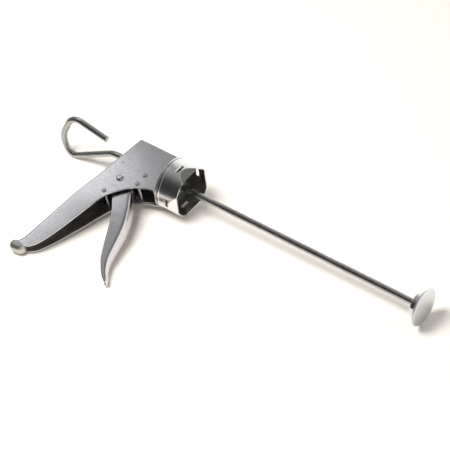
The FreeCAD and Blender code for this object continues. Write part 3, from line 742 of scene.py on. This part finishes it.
# ---------------------------------------------------------------- turned guides
def make_guides():
    """Flange, hub and bushes, each with broken edges; the retaining ring is the CAD node, kept."""
    back, front = side("front_flange", LOW, X), side("front_flange", HIGH, X)
    flange = lathe("front_flange_plate", [(back, HUB_RADIUS), (front, HUB_RADIUS),
                                          (front, side("front_flange", HIGH, Y)),
                                          (back, side("front_flange", HIGH, Y))],
                   CHROME, 160, 0.3)
    finish_piece(flange, "frame", "nickel_sheet", "front_flange")
    bush = side("rear_rod_bush", HIGH, Y)
    nose = side("collar_hub", HIGH, X)
    hub = lathe("collar_hub_turned", [(side("collar_hub", LOW, X), bush), (nose, bush),
                                      (nose, HUB_RADIUS), (back, HUB_RADIUS),
                                      (back, HUB_REAR_RADIUS),
                                      (side("collar_hub", LOW, X), HUB_REAR_RADIUS)],
                BRIGHT, 96, 0.5)
    finish_piece(hub, "frame", "bright_steel", "collar_hub")
    bore = ROD_RADIUS + 0.05
    tip = side("front_rod_bush", HIGH, X)
    lip = side("front_rod_bush", HIGH, Y)
    front_bush = lathe("front_rod_bush_turned",
                       [(side("front_rod_bush", LOW, X), bore), (tip, bore), (tip, lip),
                        (nose, lip), (nose, bush), (side("front_rod_bush", LOW, X), bush)],
                       BRIGHT, 96, 0.4)
    finish_piece(front_bush, "frame", "bright_steel", "front_rod_bush")
    rear_bush = lathe("rear_rod_bush_turned",
                      [(side("rear_rod_bush", LOW, X), bore),
                       (side("rear_rod_bush", HIGH, X), bore),
                       (side("rear_rod_bush", HIGH, X), bush),
                       (side("rear_rod_bush", LOW, X), bush)], BRIGHT, 96, 0.5)
    finish_piece(rear_bush, "frame", "bright_steel", "rear_rod_bush")


# ---------------------------------------------------------------- rivets
PIVOT_SHANK = 3.0
SMALL_SHANK = 1.9
SHORT_RIVET_FOOT = 0.4


def pin_place(node):
    """Where a CAD pin's axis crosses the XY plane, and its largest radius."""
    low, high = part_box(node)
    place = [(low[i] + high[i]) / 2 / MM for i in (X, Y)]
    return place, (high[0] - low[0]) / 2 / MM


def rivet_profile(shank, head, height, grip):
    """Profile (along Z, radius) of a rivet with a domed head on each side."""
    dome = [(grip, shank), (grip, head * 0.98), (grip + height * 0.25, head),
            (grip + height * 0.62, head * 0.86), (grip + height * 0.9, head * 0.5),
            (grip + height, 0.01)]
    return dome + [(-along, radius) for along, radius in reversed(dome)]


def make_rivets():
    """The rivets that go right through the head."""
    for node, shank, steel in (("pivot_rivet", PIVOT_SHANK, BRIGHT),
                               ("trigger_stop_rivet", SMALL_SHANK, RIVET),
                               ("bracket_lower_rivet", SMALL_SHANK, RIVET)):
        place, head = pin_place(node)
        height = side(node, HIGH, Z) - HEAD_HALF_WIDTH
        profile = rivet_profile(shank, head, height, HEAD_HALF_WIDTH)
        rivet = lathe(node + "_headed", profile, steel, 64, edge=0.12, edge_steps=2,
                      along_z=place)
        finish_piece(rivet, "frame", "rivet_steel", node)


def make_short_rivets():
    """The bracket's upper rivets, one in each side wall, which stop short of the rod."""
    place, head = pin_place("bracket_upper_rivets")
    height = side("bracket_upper_rivets", HIGH, Z) - HEAD_HALF_WIDTH
    both_heads = rivet_profile(SMALL_SHANK, head, height, HEAD_HALF_WIDTH)
    foot = HEAD_HALF_WIDTH - 2 * SHEET - SHORT_RIVET_FOOT
    right = both_heads[:len(both_heads) // 2] + [(foot, 0.01), (foot, SMALL_SHANK)]
    left = [(-along, radius) for along, radius in reversed(right)]
    pair, other = (lathe("bracket_upper_rivet_pair", profile, RIVET, 64, edge=0.12,
                         edge_steps=2, along_z=place) for profile in (right, left))
    work = bmesh.new()
    work.from_mesh(pair.data)
    work.from_mesh(other.data)
    work.to_mesh(pair.data)
    work.free()
    bpy.data.objects.remove(other)
    finish_piece(pair, "frame", "rivet_steel", "bracket_upper_rivets")


def make_catch_pin():
    """The catch's hinge pin, its ends lightly peened over the head's side walls."""
    place, radius = pin_place("catch_pin")
    end = HEAD_HALF_WIDTH
    dome = [(end + 0.06, radius), (end + 0.14, radius * 0.8), (end + 0.2, radius * 0.4),
            (end + 0.22, 0.01)]
    profile = dome + [(-along, size) for along, size in reversed(dome)]
    pin = lathe("catch_pin_peened", profile, NICKEL, 48, edge=0, along_z=place)
    finish_piece(pin, "frame", "bright_steel", "catch_pin")


# ---------------------------------------------------------------- springs
SPRING_WIRE = 0.65
SPRING_RADIUS = 6.6
CLOSED_TURNS = 0.75


def make_spring(name, node, turns):
    """A compression coil with its end turns closed."""
    low, high = side(node, LOW, X) + SPRING_WIRE, side(node, HIGH, X) - SPRING_WIRE
    total = turns + 2 * CLOSED_TURNS
    steps = 24
    run = []
    for i in range(int(total * steps) + 1):
        turn = i / steps
        rise = between([(0, 0), (CLOSED_TURNS, 0.06), (total - CLOSED_TURNS, 0.94),
                        (total, 1)], turn)
        angle = 2 * math.pi * turn
        run.append(Vector((low + (high - low) * rise, SPRING_RADIUS * math.cos(angle),
                           SPRING_RADIUS * math.sin(angle))))
    coil = tube(name, run, SPRING_WIRE, sides=12, chamfer=0.15)
    paint(coil, SPRING)
    settle(coil, 40)
    finish_piece(coil, "frame", "spring_steel", node)
    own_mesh(coil)


def keep_nodes():
    """CAD nodes whose shape stays, with a better surface and softer edges on the catch."""
    for node, material in (("front_bracket", ZINC), ("catch_spring_seat", ZINC),
                           ("collar_retaining_ring", SPRING), ("trigger_pivot_bush", BRIGHT),
                           ("trigger_push_pin", BRIGHT), ("trigger_push_roller", BRIGHT),
                           ("plunger_collet", BRIGHT), ("rear_drive_plate", HARD),
                           ("front_drive_plate", HARD), ("release_catch", HARD)):
        paint(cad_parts[node], material)
    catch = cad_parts["release_catch"]
    weld(catch)
    bevel(catch, 0.3)


make_frame_shell()
make_trigger_shell()
make_collar()
make_push_rod()
make_plunger()
make_guides()
make_rivets()
make_short_rivets()
make_catch_pin()
make_spring("drive_spring_coil", "drive_spring", 9)
make_spring("catch_spring_coil", "catch_spring", 3)
keep_nodes()


# ---------------------------------------------------------------- floor
BUTT_ALONG = -92
FLOOR_GAP = 0.15


def floor_plane():
    """The plane the gun lies on: it touches the flange, the plunger and the handle's butt."""
    flange = Vector((side("front_flange", HIGH, X), 0, side("front_flange", LOW, Z)))
    disc = Vector((side("plunger_disc", HIGH, X), 0, side("plunger_disc", LOW, Z)))
    butt = Vector((BUTT_ALONG, side("frame_shell", LOW, Y), -BUTT_HALF_WIDTH))
    normal = (disc - flange).cross(flange - butt).normalized()
    if normal.z < 0:
        normal.negate()
    return flange * MM - normal * FLOOR_GAP * MM, normal


# The camera's place in metres, its right and backward directions, and its lens.
CAMERA_PLACE = Vector((1.0883, -0.9328, 1.7392))
CAMERA_RIGHT = Vector((0.796, 0.586, -0.151))
CAMERA_BACK = Vector((0.4549, -0.4147, 0.7881))
CAMERA_LENS = 166.7
SENSOR = 36.0
FLOOR_MARGIN = 1.12


def make_camera():
    data = bpy.data.cameras.new("camera")
    data.lens = CAMERA_LENS
    data.sensor_width = SENSOR
    data.clip_start = 0.05
    data.clip_end = 50
    camera = bpy.data.objects.new("camera", data)
    bpy.context.scene.collection.objects.link(camera)
    back = CAMERA_BACK.normalized()
    right = (CAMERA_RIGHT - back * CAMERA_RIGHT.dot(back)).normalized()
    up = back.cross(right)
    turn = Matrix((right, up, back)).transposed().to_4x4()
    camera.matrix_world = Matrix.Translation(CAMERA_PLACE) @ turn
    bpy.context.scene.camera = camera
    return right, up, back


def make_floor(right, up, back):
    """A pale glossy sheet, cut to what the camera sees of it and a little more."""
    origin, normal = floor_plane()
    corners = []
    reach = FLOOR_MARGIN * SENSOR / 2 / CAMERA_LENS
    for across, rise in ((-1, -1), (1, -1), (1, 1), (-1, 1)):
        ray = -back + right * across * reach + up * rise * reach
        distance = (origin - CAMERA_PLACE).dot(normal) / ray.dot(normal)
        corners.append((CAMERA_PLACE + ray * distance) / MM)
    floor = make_object("floor", corners, [(0, 1, 2, 3)])
    material, nodes, links, shader = principled("floor_gloss")
    shader.inputs["Roughness"].default_value = 0.28
    shader.inputs["Specular IOR Level"].default_value = 0.35
    tone = stretched_noise(nodes, links, 6, (1, 1, 1))
    links.new(ramp(nodes, links, tone, (0.82, 0.775, 0.705), (0.85, 0.805, 0.735)),
              shader.inputs["Base Color"])
    floor.data.materials.append(material)


# ---------------------------------------------------------------- light
def area_light(name, place, target, width, height, power, color=(1, 1, 1), roll=0.0):
    """A soft rectangular lamp aimed at the target, turned about its own axis by roll degrees."""
    data = bpy.data.lights.new(name, "AREA")
    data.shape = "RECTANGLE"
    data.size = width
    data.size_y = height
    data.energy = power
    data.color = color
    lamp = bpy.data.objects.new(name, data)
    bpy.context.scene.collection.objects.link(lamp)
    lamp.location = place
    lamp.rotation_mode = "QUATERNION"
    aim = (Vector(target) - Vector(place)).to_track_quat("-Z", "Y")
    lamp.rotation_quaternion = aim @ Quaternion((0, 0, 1), math.radians(roll))
    return lamp


# Brightness of the room against how near a direction is to its darkest side, from 0,
# straight away from it, to 1, straight at it.
DARK_SIDE = Vector((-0.455, -0.751, 0.463))
ROOM_TONES = [(0.30, 1.25), (0.45, 0.80), (0.58, 0.38), (0.75, 0.36), (0.85, 0.24), (0.95, 0.08),
              (1.0, 0.04)]
ROOM_STRENGTH = 1.25
# A darker patch overhead: its middle, and how far from it the patch starts and is full.
DARK_CEILING = Vector((0.12, 0.60, 0.79))
CEILING_START = math.radians(26)
CEILING_FULL = math.radians(12)
CEILING_TONE = 0.25


def make_world():
    """A studio: white behind the gun, grey overhead and dark on one side."""
    world = bpy.data.worlds.new("studio")
    bpy.context.scene.world = world
    world.use_nodes = True
    nodes, links = world.node_tree.nodes, world.node_tree.links
    where = nodes.new("ShaderNodeTexCoord")
    facing = nodes.new("ShaderNodeVectorMath")
    facing.operation = "DOT_PRODUCT"
    facing.inputs[1].default_value = DARK_SIDE
    links.new(where.outputs["Generated"], facing.inputs[0])
    shift = nodes.new("ShaderNodeMath")
    shift.operation = "MULTIPLY_ADD"
    shift.inputs[1].default_value = 0.5
    shift.inputs[2].default_value = 0.5
    links.new(facing.outputs["Value"], shift.inputs[0])
    fade = nodes.new("ShaderNodeValToRGB")
    stops = fade.color_ramp.elements
    while len(stops) < len(ROOM_TONES):
        stops.new(0.5)
    for stop, (position, tone) in zip(stops, ROOM_TONES):
        stop.position = position
        stop.color = (tone / ROOM_STRENGTH,) * 3 + (1,)
    links.new(shift.outputs[0], fade.inputs["Fac"])
    above = nodes.new("ShaderNodeVectorMath")
    above.operation = "DOT_PRODUCT"
    above.inputs[1].default_value = DARK_CEILING
    links.new(where.outputs["Generated"], above.inputs[0])
    patch = nodes.new("ShaderNodeMapRange")
    patch.interpolation_type = "SMOOTHSTEP"
    patch.inputs["From Min"].default_value = math.cos(CEILING_START)
    patch.inputs["From Max"].default_value = math.cos(CEILING_FULL)
    patch.inputs["To Min"].default_value = 1.0
    patch.inputs["To Max"].default_value = CEILING_TONE
    links.new(above.outputs["Value"], patch.inputs["Value"])
    dimmed = nodes.new("ShaderNodeVectorMath")
    dimmed.operation = "SCALE"
    links.new(fade.outputs["Color"], dimmed.inputs[0])
    links.new(patch.outputs["Result"], dimmed.inputs["Scale"])
    links.new(dimmed.outputs["Vector"], nodes["Background"].inputs["Color"])
    nodes["Background"].inputs["Strength"].default_value = ROOM_STRENGTH


right, up, back = make_camera()
make_floor(right, up, back)
make_world()
# The key lights the floor and casts the shadows, but no surface mirrors it.
key = area_light("key", (-0.32, -0.22, 1.24), (0.05, -0.03, 0), 0.7, 0.7, 25.0, (0.98, 0.98, 1.0))
key.visible_glossy = False
# The panel does the opposite: it shows only as a pale reflection along the handle.
panel = area_light("handle_panel", (-0.329, 0.046, 0.30), (-0.329, 0.046, 0), 0.20, 0.25,
                   0.15, (0.93, 0.97, 1.0), -13.6)
panel.visible_diffuse = False
bpy.context.scene.view_settings.view_transform = "Standard"
